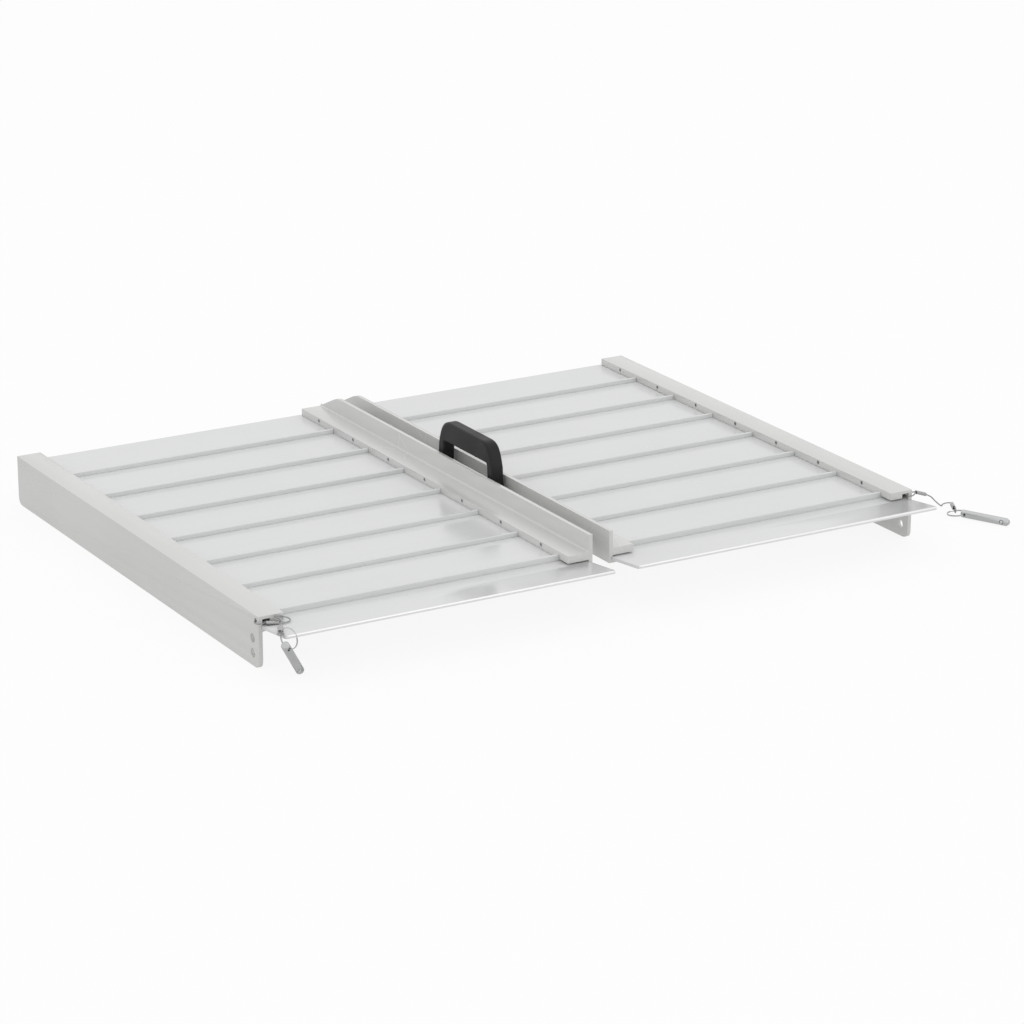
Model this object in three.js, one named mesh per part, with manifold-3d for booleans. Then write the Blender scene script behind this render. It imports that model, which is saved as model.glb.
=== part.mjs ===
// Portable folding wheelchair ramp, lying with its underside up on its two side curbs.
// Millimetres, +Z up. X runs across the ramp, -Y is the end with the two entry lips.
// The origin is on the floor, on the middle line between the outer rails.

import * as THREE from 'three';
import * as BufferGeometryUtils from 'three/addons/utils/BufferGeometryUtils.js';
import Module from 'manifold-3d';

const wasm = await Module();
wasm.setup();

// ---- driving dimensions ----
const overallWidth = 740;
const overallLength = 612;
const originToRear = 304; // from the origin to the deck's far edge
const lipReach = 49; // how far the lips stand out past the ends of the rails
const railLength = 559.5;
const railHeight = 52; // curb edge on the floor to the top flange
const sheet = 3; // thickness of flanges and ledges
const curbPlate = 4;
const curbHeight = 37; // height of the curb beside the running face
const topFlange = 26;
const ledgeDepth = 20;
const curbCorner = 9;
const curbFillet = 1.5;

const webInner = 9.5; // half the gap between the two centre webs
const webPlate = 4;
const webTop = 70;
const centreFlange = 37; // distance of the centre flange's edge from the middle
const centreLedge = 35;
const webTaper = 45; // length of the slope at the webs' far ends
const webFillet = 2.5;

const plankCount = 7;
const plankPitch = 78;
const plankSkin = 4;
const ridgeHeight = 4.6;
const ridgeWidth = 3;
const gap = 0.3; // clearance between pieces that touch
const skirt = 2.5; // turned-down edge of a flange, and its closed ends

const hingeX = 5; // distance of each hinge line from the middle
const hingeZ = 41;
const pinRadius = 2;
const barrelRadius = 3.8;
const barrelBore = 2.4;
const spineStart = -205;
const spineEnd = 246;
const spineHalf = 6.7;
const spineBottom = 46;
const spineTop = 55;
const leafPlate = 2.2;
const leafBottom = 44.8;
const stations = [-180, -100, 0, 105, 195];
const spineKnuckle = 10;
const leafKnuckle = 8;
const knuckleGap = 0.5;

const handleMiddle = -4.5;
const handleBase = 115; // length over the feet
const handleCrown = 101; // length near the grip
const handleThickness = 14;
const handleTop = 104;
const gripHeight = 22;
const legWidth = 12;
const screwSpacing = 103;

const pinHoleRadius = 4.5;
const pinHoleHeights = [12.5, 27.5];
const pinHoleFromEnd = 13;
const eyeHoleRadius = 2.5;
const eyeHoleFromEnd = 6;
const eyeHoleHeight = 46.6;
const cablePocket = 8; // opening beside the eye hole, through the flange's closed end

const lockPinRadius = 4.1;
const lockPinLength = 54;
const crossHole = 4.5; // distance of the ring's hole from the pin's head
const crossHoleRadius = 1.9;
const ballRadius = 2;
const ballProud = 1.1;
const ballFromTip = 7;
const pocketDepth = 3.3; // from the pin's axis
const springWire = 0.2; // radius
const ringRadius = 10.2;
const ringWire = 0.7;
const cableRadius = 0.65;
const ferruleLength = 12;
const runOffset = 0.95; // half the distance between the two strands in a ferrule

// ---- derived places ----
const halfWidth = overallWidth / 2;
const lipFront = originToRear - overallLength;
const railFront = lipFront + lipReach;
const railRear = railFront + railLength;
const deckRear = originToRear;
const firstPlank = deckRear - plankCount * plankPitch;
const ledgeTop = curbHeight + sheet;
const plankBottom = ledgeTop + gap;
const skinTop = plankBottom + plankSkin;
const skirtBottom = skinTop + gap;
const plankInnerEnd = webInner + webPlate + gap;
const plankOuterEnd = halfWidth - curbPlate - gap;

// ---- materials ----
const finish = (color, roughness, metalness) =>
  new THREE.MeshStandardMaterial({ color, roughness, metalness });
const railAluminium = finish(0xd4d4d1, 0.38, 0.85);
const deckAluminium = finish(0xdfe1e0, 0.18, 0.9);
const hingeAluminium = finish(0xb9babb, 0.4, 0.9);
const steel = finish(0xa4a6a8, 0.3, 1);
const blackPlastic = finish(0x2c2c2d, 0.5, 0);
const cableSteel = finish(0x9a9c9e, 0.4, 0.9);

// ---- solid helpers ----
function toSolid(geometry) {
  const bare = geometry.clone();
  bare.deleteAttribute('normal');
  bare.deleteAttribute('uv');
  const merged = BufferGeometryUtils.mergeVertices(bare, 1e-4);
  const vertProperties = new Float32Array(merged.attributes.position.array);
  const triVerts = new Uint32Array(merged.index.array);
  return new wasm.Manifold(new wasm.Mesh({ numProp: 3, vertProperties, triVerts }));
}

function toGeometry(solid) {
  const mesh = solid.getMesh();
  const geometry = new THREE.BufferGeometry();
  geometry.setAttribute('position', new THREE.BufferAttribute(new Float32Array(mesh.vertProperties), 3));
  geometry.setIndex(new THREE.BufferAttribute(new Uint32Array(mesh.triVerts), 1));
  geometry.computeVertexNormals();
  return geometry;
}

function cut(geometry, tools) {
  return toGeometry(tools.reduce((body, tool) => body.subtract(toSolid(tool)), toSolid(geometry)));
}

function join(geometries) {
  return toGeometry(geometries.map(toSolid).reduce((body, piece) => body.add(piece)));
}

// An outline through corners given as [u, v, radius]; a corner with no radius stays sharp.
function outline(corners) {
  const shape = new THREE.Shape();
  const places = corners.map(([u, v]) => new THREE.Vector2(u, v));
  corners.forEach(([u, v, radius = 0], i) => {
    const towards = (other) => other.clone().sub(places[i]).setLength(radius).add(places[i]);
    const start = towards(places.at(i - 1));
    const end = towards(places[(i + 1) % places.length]);
    if (i === 0) shape.moveTo(start.x, start.y);
    else shape.lineTo(start.x, start.y);
    if (radius > 0) shape.quadraticCurveTo(u, v, end.x, end.y);
  });
  return shape;
}

// An (x, z) outline pushed along Y from yStart to yEnd.
function alongY(shape, yStart, yEnd) {
  const depth = yEnd - yStart;
  const geometry = new THREE.ExtrudeGeometry(shape, { depth, bevelEnabled: false, curveSegments: 8 });
  geometry.rotateX(Math.PI / 2);
  geometry.translate(0, yEnd, 0);
  return geometry;
}

// A (y, z) outline pushed along X from xStart to xEnd.
function alongX(shape, xStart, xEnd, curveSegments = 8) {
  const depth = xEnd - xStart;
  const geometry = new THREE.ExtrudeGeometry(shape, { depth, bevelEnabled: false, curveSegments });
  const turn = new THREE.Matrix4().makeBasis(
    new THREE.Vector3(0, 1, 0),
    new THREE.Vector3(0, 0, 1),
    new THREE.Vector3(1, 0, 0),
  );
  geometry.applyMatrix4(turn);
  geometry.translate(xStart, 0, 0);
  return geometry;
}

function block(xs, ys, zs) {
  const geometry = new THREE.BoxGeometry(xs[1] - xs[0], ys[1] - ys[0], zs[1] - zs[0]);
  geometry.translate((xs[0] + xs[1]) / 2, (ys[0] + ys[1]) / 2, (zs[0] + zs[1]) / 2);
  return geometry;
}

// The same span on either side of the middle.
function sideSpan(side, near, far) {
  return side > 0 ? [near, far] : [-far, -near];
}

// A rod between two points.
function rod(start, end, radius, sides = 12) {
  const along = end.clone().sub(start);
  const geometry = new THREE.CylinderGeometry(radius, radius, along.length(), sides);
  const up = new THREE.Vector3(0, 1, 0);
  geometry.applyQuaternion(new THREE.Quaternion().setFromUnitVectors(up, along.clone().normalize()));
  geometry.translate(...start.clone().add(end).multiplyScalar(0.5).toArray());
  return geometry;
}

const point = (x, y, z) => new THREE.Vector3(x, y, z);

const ramp = new THREE.Group();

function add(name, geometry, material) {
  const mesh = new THREE.Mesh(geometry, material);
  mesh.name = name;
  ramp.add(mesh);
  return mesh;
}

// ---- rails ----
function cornerCutter(side, yEnd, inwards) {
  const shape = new THREE.Shape();
  const far = yEnd - inwards * 2;
  const start = yEnd + inwards * curbCorner;
  shape.moveTo(start, 0);
  shape.quadraticCurveTo(yEnd, 0, yEnd, curbCorner);
  shape.lineTo(far, curbCorner);
  shape.lineTo(far, -2);
  shape.lineTo(start, -2);
  return alongX(shape, ...sideSpan(side, halfWidth - curbPlate - 1, halfWidth + 1), 10);
}

function outerRail(side) {
  const inner = halfWidth - curbPlate;
  const profile = outline([
    [halfWidth, 0],
    [halfWidth, railHeight],
    [halfWidth - topFlange, railHeight],
    [halfWidth - topFlange, skirtBottom],
    [inner, skirtBottom],
    [inner, ledgeTop],
    [inner - ledgeDepth, ledgeTop],
    [inner - ledgeDepth, curbHeight],
    [inner, curbHeight, curbFillet],
    [inner, 0],
  ].map(([x, z, radius]) => [side * x, z, radius]));
  const rail = alongY(profile, railFront, railRear);
  const hollow = flangeHollow(side, halfWidth - topFlange + skirt, inner - gap);
  const across = (y, z, radius, sides) =>
    rod(point(side * (inner - 2), y, z), point(side * (halfWidth + 2), y, z), radius, sides);
  const holes = pinHoleHeights.map((z) => across(railFront + pinHoleFromEnd, z, pinHoleRadius, 28));
  holes.push(across(railFront + eyeHoleFromEnd, eyeHoleHeight, eyeHoleRadius, 20));
  const pocketXs = sideSpan(side, inner - cablePocket, inner);
  holes.push(block(pocketXs, [railFront - 1, railFront + cablePocket], [skirtBottom - 1, railHeight - sheet]));
  holes.push(cornerCutter(side, railFront, 1), cornerCutter(side, railRear, -1), hollow);
  return cut(rail, holes);
}

// The hollow under a flange, open towards the planks and closed at both ends.
function flangeHollow(side, near, far) {
  const ys = [railFront + skirt, railRear - skirt];
  return block(sideSpan(side, near, far), ys, [skirtBottom - 1, railHeight - sheet]);
}

function centreRail(side) {
  const webOuter = webInner + webPlate;
  const profile = outline([
    [webInner, curbHeight],
    [webInner, webTop],
    [webOuter, webTop],
    [webOuter, railHeight, webFillet],
    [centreFlange, railHeight],
    [centreFlange, skirtBottom],
    [webOuter, skirtBottom],
    [webOuter, ledgeTop],
    [centreLedge, ledgeTop],
    [centreLedge, curbHeight],
  ].map(([x, z, radius]) => [side * x, z, radius]));
  const rail = alongY(profile, railFront, railRear);
  const slope = new THREE.Shape();
  slope.moveTo(railRear + 1, railHeight + 0.1);
  slope.lineTo(railRear + 1, webTop + 5);
  slope.lineTo(railRear - webTaper, webTop + 5);
  slope.lineTo(railRear - webTaper, webTop);
  slope.quadraticCurveTo(railRear - webTaper + 9, webTop - 0.4, railRear - webTaper + 16, webTop - 4);
  const wedge = alongX(slope, ...sideSpan(side, webInner - 1, webOuter + 0.01), 6);
  return cut(rail, [wedge, flangeHollow(side, webOuter + gap, centreFlange - skirt)]);
}

// ---- deck planks and entry lip ----
function plank(side, index) {
  const start = firstPlank + index * plankPitch + gap / 2;
  const end = start + plankPitch - gap;
  const ridgeTop = skinTop + ridgeHeight;
  const profile = outline([
    [start, plankBottom],
    [start, ridgeTop],
    [start + ridgeWidth, ridgeTop],
    [start + ridgeWidth, skinTop],
    [end, skinTop],
    [end, plankBottom],
  ]);
  const body = alongX(profile, ...sideSpan(side, plankInnerEnd, plankOuterEnd));
  const ys = [start - 1, start + ridgeWidth + 1];
  const zs = [skinTop, ridgeTop + 1];
  const under = [
    sideSpan(side, plankInnerEnd - 1, centreFlange + gap),
    sideSpan(side, halfWidth - topFlange - gap, plankOuterEnd + 1),
  ];
  return cut(body, under.map((xs) => block(xs, ys, zs)));
}

const lipThickness = 3.2;
const lipTop = skinTop - 1.2; // beside the first plank
const lipRise = 5.2;
const lipBend = railFront - 3;
const lipInnerEnd = 12.5;
const lipOuterEnd = halfWidth - 3.5;
const noseRadius = 1.5;
const planRadius = 4;

function lip(side) {
  const front = lipFront;
  const lipBottom = lipTop - lipThickness;
  const noseTop = lipTop + lipRise;
  const noseBottom = lipBottom + lipRise;
  const shape = new THREE.Shape();
  shape.moveTo(front + noseRadius, noseBottom);
  shape.lineTo(lipBend, lipBottom);
  shape.lineTo(railFront - gap, lipBottom);
  shape.lineTo(railFront - gap, plankBottom);
  shape.lineTo(firstPlank - gap / 2, plankBottom);
  shape.lineTo(firstPlank - gap / 2, lipTop);
  shape.lineTo(lipBend, lipTop);
  shape.lineTo(front + noseRadius, noseTop);
  shape.quadraticCurveTo(front, noseTop, front, (noseTop + noseBottom) / 2);
  shape.quadraticCurveTo(front, noseBottom, front + noseRadius, noseBottom);
  const body = alongX(shape, ...sideSpan(side, lipInnerEnd, lipOuterEnd), 4);
  const notchYs = [railFront - gap, firstPlank + 1];
  const notchZs = [lipBottom - 1, lipTop + 1];
  const cutters = [
    block(sideSpan(side, lipInnerEnd - 1, plankInnerEnd), notchYs, notchZs),
    block(sideSpan(side, plankOuterEnd, lipOuterEnd + 1), notchYs, notchZs),
  ];
  for (const [corner, inwards] of [[lipInnerEnd, 1], [lipOuterEnd, -1]]) {
    cutters.push(planCorner(side, corner, inwards, front, planRadius));
  }
  return cut(body, cutters);
}

// What a rounded corner in plan takes off a plate.
function planCorner(side, x, inwards, y, radius) {
  const shape = new THREE.Shape();
  shape.moveTo(side * (x - inwards), y - 1);
  shape.lineTo(side * (x + inwards * radius), y - 1);
  shape.lineTo(side * (x + inwards * radius), y);
  shape.quadraticCurveTo(side * x, y, side * x, y + radius);
  shape.lineTo(side * (x - inwards), y + radius);
  const geometry = new THREE.ExtrudeGeometry(shape, { depth: 20, bevelEnabled: false, curveSegments: 8 });
  geometry.translate(0, 0, curbHeight - 3);
  return geometry;
}

// ---- hinge ----
function barrel(side, start, end, radius) {
  return rod(point(side * hingeX, start, hingeZ), point(side * hingeX, end, hingeZ), radius, 24);
}

function pinBore(side) {
  return rod(point(side * hingeX, spineStart - 5, hingeZ), point(side * hingeX, spineEnd + 5, hingeZ), barrelBore, 12);
}

function hingeSpine() {
  const pieces = [block([-spineHalf, spineHalf], [spineStart, spineEnd], [spineBottom, spineTop])];
  for (const y of stations) {
    const ys = [y - spineKnuckle / 2, y + spineKnuckle / 2];
    pieces.push(block([-hingeX, hingeX], ys, [hingeZ - 2.5, spineBottom + 1]));
    pieces.push(barrel(-1, ...ys, barrelRadius), barrel(1, ...ys, barrelRadius));
  }
  const screwHoles = [-1, 1].map((end) => {
    const y = screwPlace(end);
    return rod(point(0, y, spineBottom - 1), point(0, y, spineTop + 1), 2.3, 12);
  });
  return cut(join(pieces), [pinBore(-1), pinBore(1), ...screwHoles]);
}

function hingeLeaf(side) {
  const outer = webInner - gap;
  const inner = outer - leafPlate;
  const pieces = [block(sideSpan(side, inner, outer), [spineStart, spineEnd], [leafBottom, spineTop])];
  for (const y of stations) {
    for (const end of [-1, 1]) {
      const near = y + end * (spineKnuckle / 2 + knuckleGap);
      const far = near + end * leafKnuckle;
      const ys = [Math.min(near, far), Math.max(near, far)];
      pieces.push(barrel(side, ...ys, barrelRadius));
      pieces.push(block(sideSpan(side, hingeX + 1, outer), ys, [hingeZ, leafBottom + 0.7]));
    }
  }
  return cut(join(pieces), [pinBore(side)]);
}

function hingePin(side) {
  const profile = [
    [0, spineStart - 2.5],
    [3.2, spineStart - 2.5],
    [3.2, spineStart - 1],
    [pinRadius, spineStart - 1],
    [pinRadius, spineEnd + 2],
    [1.4, spineEnd + 2.6],
    [0, spineEnd + 2.6],
  ].map(([r, y]) => new THREE.Vector2(r, y));
  const pin = new THREE.LatheGeometry(profile, 12);
  pin.translate(side * hingeX, 0, hingeZ);
  return pin;
}

// ---- carrying handle ----
function handle() {
  const bottom = spineTop + gap;
  const half = handleBase / 2;
  const crown = handleCrown / 2;
  const inner = half - legWidth;
  const innerCrown = inner - 2;
  const gripBottom = handleTop - gripHeight;
  const shape = new THREE.Shape();
  const y = (distance) => handleMiddle + distance;
  shape.moveTo(y(-half), bottom);
  shape.lineTo(y(-inner), bottom);
  shape.lineTo(y(-innerCrown), gripBottom - 2);
  shape.quadraticCurveTo(y(-innerCrown), gripBottom, y(-innerCrown + 2), gripBottom);
  shape.lineTo(y(innerCrown - 2), gripBottom);
  shape.quadraticCurveTo(y(innerCrown), gripBottom, y(innerCrown), gripBottom - 2);
  shape.lineTo(y(inner), bottom);
  shape.lineTo(y(half), bottom);
  shape.lineTo(y(half - 2), bottom + 24);
  shape.bezierCurveTo(y(crown), handleTop - 6, y(crown - 5), handleTop, y(crown - 18), handleTop);
  shape.lineTo(y(-crown + 18), handleTop);
  shape.bezierCurveTo(y(-crown + 5), handleTop, y(-crown), handleTop - 6, y(-half + 2), bottom + 24);
  const body = alongX(shape, -handleThickness / 2, handleThickness / 2, 8);
  const holes = [-1, 1].map((end) =>
    rod(point(0, screwPlace(end), bottom - 1), point(0, screwPlace(end), bottom + 17), 3.3, 12));
  return cut(body, holes);
}

function screwPlace(end) {
  return handleMiddle + (end * screwSpacing) / 2;
}

function handleInsert(end) {
  const y = screwPlace(end);
  const sleeve = rod(point(0, y, spineTop + gap), point(0, y, spineTop + 15), 3, 12);
  return cut(sleeve, [rod(point(0, y, spineTop - 1), point(0, y, spineTop + 14), 2.3, 12)]);
}

function handleScrew(end) {
  const profile = [
    [0, spineBottom - 2.8],
    [3, spineBottom - 2.8],
    [4, spineBottom - 1.8],
    [4, spineBottom - gap],
    [2, spineBottom - gap],
    [2, spineTop + 13],
    [0, spineTop + 13],
  ].map(([r, z]) => new THREE.Vector2(r, z));
  const screw = new THREE.LatheGeometry(profile, 12);
  screw.rotateX(Math.PI / 2);
  screw.translate(0, screwPlace(end), 0);
  return screw;
}

// ---- lock pins and their lanyards ----
// Each pin: middle of its head end, the direction towards its tip, the direction of its ring's hole,
// and the direction in which its ball stands out.
const leftPin = {
  head: point(-368.9, -310.4, 41.1),
  along: point(0.515, 0.455, -0.727).normalize(),
  hole: point(0.35, -0.93, -0.363).normalize(),
  ringSide: point(0, 0, 1),
};
const rightPin = {
  head: point(455.2, -231.8, lockPinRadius + 0.1),
  along: point(0.438, -0.899, 0).normalize(),
  hole: point(0.899, 0.438, 0).normalize(),
  ringSide: point(-0.436, 0.895, -0.1),
};

function pinFrame(pin) {
  const ballSide = pin === rightPin
    ? point(-0.899, -0.438, 0).normalize()
    : point(-0.12, -0.78, -0.62);
  ballSide.addScaledVector(pin.along, -ballSide.dot(pin.along)).normalize();
  const holePlace = pin.head.clone().addScaledVector(pin.along, crossHole);
  const ballPlace = pin.head.clone().addScaledVector(pin.along, lockPinLength - ballFromTip);
  return { ballSide, holePlace, ballPlace };
}

function lockPin(pin) {
  const { ballSide, holePlace, ballPlace } = pinFrame(pin);
  const profile = [
    [0, 0],
    [lockPinRadius - 0.8, 0],
    [lockPinRadius, 0.8],
    [lockPinRadius, lockPinLength - 2.5],
    [lockPinRadius - 1.6, lockPinLength],
    [0, lockPinLength],
  ].map(([r, h]) => new THREE.Vector2(r, h));
  const body = new THREE.LatheGeometry(profile, 32);
  body.applyQuaternion(new THREE.Quaternion().setFromUnitVectors(point(0, 1, 0), pin.along));
  body.translate(...pin.head.toArray());
  const ends = [-6, 6].map((reach) => holePlace.clone().addScaledVector(pin.hole, reach));
  const pocketStart = ballPlace.clone().addScaledVector(ballSide, -pocketDepth);
  const pocketEnd = ballPlace.clone().addScaledVector(ballSide, 6);
  return cut(body, [
    rod(...ends, crossHoleRadius, 16),
    rod(pocketStart, pocketEnd, ballRadius + gap, 20),
  ]);
}

function detentBall(pin) {
  const { ballSide, ballPlace } = pinFrame(pin);
  const ball = new THREE.SphereGeometry(ballRadius, 16, 10);
  ball.translate(...ballPlace.clone().addScaledVector(ballSide, lockPinRadius + ballProud - ballRadius).toArray());
  return ball;
}

function detentSpring(pin) {
  const { ballSide, ballPlace } = pinFrame(pin);
  const start = springWire + gap - pocketDepth;
  const end = lockPinRadius - 2 * ballRadius;
  const turns = 3;
  const steps = turns * 10;
  const side = pin.along.clone();
  const third = ballSide.clone().cross(side);
  const points = [];
  for (let i = 0; i <= steps; i += 1) {
    const angle = (i / 10) * 2 * Math.PI;
    const height = start + ((end - start) * i) / steps;
    points.push(ballPlace.clone()
      .addScaledVector(ballSide, height)
      .addScaledVector(side, 1.4 * Math.cos(angle))
      .addScaledVector(third, 1.4 * Math.sin(angle)));
  }
  return tube(points, springWire, 36, 6);
}

function ringFrame(pin) {
  const { holePlace } = pinFrame(pin);
  const inward = pin.ringSide.clone().addScaledVector(pin.hole, -pin.ringSide.dot(pin.hole)).normalize();
  const centre = holePlace.clone().addScaledVector(inward, ringRadius);
  return { centre, inward };
}

function pinRing(pin) {
  const { centre, inward } = ringFrame(pin);
  const ring = new THREE.TorusGeometry(ringRadius, ringWire, 8, 32);
  const normal = pin.hole.clone().cross(inward);
  ring.applyMatrix4(new THREE.Matrix4().makeBasis(pin.hole, inward, normal));
  ring.translate(...centre.toArray());
  return ring;
}

// A closed tube along a smooth curve through the points.
function tube(points, radius, steps, sides = 8) {
  const section = new THREE.Shape();
  for (let i = 0; i < sides; i += 1) {
    const angle = (i / sides) * 2 * Math.PI;
    const place = [radius * Math.cos(angle), radius * Math.sin(angle)];
    if (i === 0) section.moveTo(...place);
    else section.lineTo(...place);
  }
  const path = new THREE.CatmullRomCurve3(points, false, 'centripetal');
  return new THREE.ExtrudeGeometry(section, { steps, bevelEnabled: false, extrudePath: path });
}

// A pressed sleeve that holds two strands side by side.
function ferrule({ centre, along, across }) {
  const stadium = (target, radius) => {
    target.absarc(runOffset, 0, radius, -Math.PI / 2, Math.PI / 2, false);
    target.absarc(-runOffset, 0, radius, Math.PI / 2, (3 * Math.PI) / 2, false);
    return target;
  };
  const section = stadium(new THREE.Shape(), cableRadius + 1.15);
  section.holes.push(stadium(new THREE.Path(), cableRadius + 0.35));
  const settings = { depth: ferruleLength, bevelEnabled: false, curveSegments: 6 };
  const sleeve = new THREE.ExtrudeGeometry(section, settings);
  sleeve.translate(0, 0, -ferruleLength / 2);
  const third = along.clone().normalize();
  const first = across.clone().addScaledVector(third, -across.dot(third)).normalize();
  sleeve.applyMatrix4(new THREE.Matrix4().makeBasis(first, third.clone().cross(first), third));
  sleeve.translate(...centre.toArray());
  return sleeve;
}

const leftFerrules = [
  { centre: point(-357.5, -262.6, 45.8), along: point(0.93, -0.36, -0.05), across: point(0.36, 0.93, 0) },
  { centre: point(-362.9, -289.9, 48.7), along: point(0.444, 0.895, -0.028), across: point(-0.896, 0.444, -0.02) },
];
const rightFerrules = [
  { centre: point(382.2, -257.3, 45.6), along: point(0.94, -0.06, -0.33), across: point(0.06, 0.94, 0) },
  { centre: point(463.5, -205.1, 2.8), along: point(0.44, 0.898, 0), across: point(0, 0, 1) },
];

// The routes run from the tail of the rail's eye to the tail of the ring's eye.
const leftRoute = [
  [-352.3, -263.6, 45.5],
  [-357.2, -261.7, 45.8],
  [-363.1, -259.4, 46.1],
  [-365.4, -254.9, 46.5],
  [-368.0, -253.0, 46.6],
  [-371.4, -254.3, 46.6],
  [-373.1, -257.7, 46.5],
  [-372.0, -261.3, 46.4],
  [-368.4, -262.4, 46.3],
  [-363.8, -261.2, 46.1],
  [-357.8, -263.5, 45.8],
  [-351.9, -265.8, 45.5],
  [-347.0, -267.0, 45.0],
  [-341.8, -266.0, 45.0],
  [-339.4, -263.6, 45.6],
  [-341.1, -261.4, 47.0],
  [-347.3, -260.9, 49.4],
  [-352.4, -261.0, 50.8],
  [-354.4, -261.8, 50.8],
  [-353.4, -264.6, 50.2],
  [-352.4, -268.6, 49.6],
  [-353.6, -274.2, 49.0],
  [-360.9, -283.7, 48.5],
  [-363.7, -289.4, 48.7],
  [-366.6, -295.2, 48.9],
  [-369.0, -297.9, 49.0],
  [-371.2, -300.1, 49.1],
  [-371.8, -302.7, 49.2],
  [-370.3, -304.8, 49.3],
  [-367.7, -304.8, 49.3],
  [-366.0, -302.7, 49.2],
  [-365.6, -299.6, 49.1],
  [-364.9, -296.0, 48.9],
  [-362.0, -290.3, 48.7],
  [-359.7, -285.6, 48.6],
].map((place) => point(...place));

const rightRoute = [
  [387.2, -256.7, 43.9],
  [382.3, -256.4, 45.6],
  [376.2, -256.0, 47.7],
  [371.8, -254.0, 47.2],
  [368.0, -253.0, 46.7],
  [364.4, -254.6, 46.4],
  [363.2, -258.0, 46.4],
  [364.8, -261.4, 46.5],
  [368.2, -262.6, 46.8],
  [372.2, -260.8, 47.4],
  [376.1, -257.9, 47.7],
  [382.1, -258.2, 45.6],
  [388.2, -258.6, 43.5],
  [400.6, -250.4, 36.6],
  [415.6, -236.6, 26.4],
  [430.6, -222.6, 16.4],
  [444.6, -209.2, 7.8],
  [454.6, -198.0, 2.6],
  [461.0, -190.6, 1.0],
  [467.2, -189.0, 1.0],
  [470.2, -193.0, 1.8],
  [466.4, -199.3, 3.8],
  [463.5, -205.1, 3.8],
  [460.7, -210.8, 3.8],
  [459.1, -214.0, 4.9],
  [457.8, -216.5, 6.0],
  [456.5, -219.2, 5.2],
  [455.9, -220.4, 3.2],
  [456.3, -219.6, 1.3],
  [457.6, -216.9, 0.8],
  [459.1, -214.0, 1.3],
  [460.7, -210.8, 1.8],
  [463.5, -205.1, 1.8],
  [465.8, -200.4, 1.8],
].map((place) => point(...place));

// ---- assembly ----
add('hinge_spine', hingeSpine(), hingeAluminium);
add('handle', handle(), blackPlastic);
for (const [number, end] of [[1, -1], [2, 1]]) {
  add(`handle_insert_${number}`, handleInsert(end), steel);
  add(`handle_screw_${number}`, handleScrew(end), steel);
}

for (const [name, side, pin, ferrules, route] of [
  ['left', -1, leftPin, leftFerrules, leftRoute],
  ['right', 1, rightPin, rightFerrules, rightRoute],
]) {
  add(`${name}_hinge_pin`, hingePin(side), steel);
  add(`${name}_outer_rail`, outerRail(side), railAluminium);
  add(`${name}_centre_rail`, centreRail(side), railAluminium);
  for (let i = 0; i < plankCount; i += 1) {
    add(`${name}_plank_${i + 1}`, plank(side, i), deckAluminium);
  }
  add(`${name}_lip`, lip(side), deckAluminium);
  add(`${name}_hinge_leaf`, hingeLeaf(side), hingeAluminium);
  add(`${name}_lanyard_cable`, tube(route, cableRadius, 80), cableSteel);
  ferrules.forEach((place, i) => add(`${name}_ferrule_${i + 1}`, ferrule(place), steel));
  add(`${name}_pin_ring`, pinRing(pin), steel);
  add(`${name}_lock_pin`, lockPin(pin), steel);
  add(`${name}_pin_ball`, detentBall(pin), steel);
  add(`${name}_pin_spring`, detentSpring(pin), steel);
}

export default ramp;
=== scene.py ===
import math

import bmesh
import bpy
import numpy as np
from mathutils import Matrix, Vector


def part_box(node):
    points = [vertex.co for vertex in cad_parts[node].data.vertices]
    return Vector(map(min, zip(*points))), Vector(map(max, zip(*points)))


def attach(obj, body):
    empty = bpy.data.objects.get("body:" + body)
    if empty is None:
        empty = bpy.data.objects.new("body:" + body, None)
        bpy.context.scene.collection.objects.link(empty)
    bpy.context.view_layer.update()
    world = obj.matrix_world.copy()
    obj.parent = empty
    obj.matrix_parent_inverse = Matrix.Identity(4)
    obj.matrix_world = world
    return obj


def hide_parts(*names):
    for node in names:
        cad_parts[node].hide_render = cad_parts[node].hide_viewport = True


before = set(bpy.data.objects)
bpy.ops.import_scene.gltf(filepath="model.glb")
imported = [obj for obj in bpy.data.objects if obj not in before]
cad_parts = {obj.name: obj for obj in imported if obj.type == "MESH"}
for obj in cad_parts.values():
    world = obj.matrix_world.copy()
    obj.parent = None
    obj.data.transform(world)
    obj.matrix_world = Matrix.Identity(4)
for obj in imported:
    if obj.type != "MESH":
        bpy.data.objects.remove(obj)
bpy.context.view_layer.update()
print("frame loaded:", len(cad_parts), "nodes")

sides = {"left": -1, "right": 1}
scene = bpy.context.scene


# camera, floor and light
cameraSettings = {
    "location": (-1.8148, -3.1995, 1.2608),
    "direction": (0.4772, 0.8181, -0.3207),
    "lens": 133.0,
    "sensor": 36.0,
    "near": 0.05,
    "far": 200,
}
floorSettings = {
    "size": 60.0,
    "colour": (0.12, 0.12, 0.12, 1),
    "roughness": 0.9,
    "glow": 0.87,  # as the camera sees it
    "bounce": 0.58,  # as the ramp is lit by it
}
worldSettings = {"colour": (1.0, 1.0, 1.0, 1), "strength": 0.92}
lampAim = Vector((0, 0, 0.04))
lamps = {
    "frontSoftbox": {"place": (1.4, -3.6, 1.9), "size": 2.6, "power": 7.0},
    "topSoftbox": {"place": (-0.4, 0.6, 3.4), "size": 3.0, "power": 2.0},
}


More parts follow.
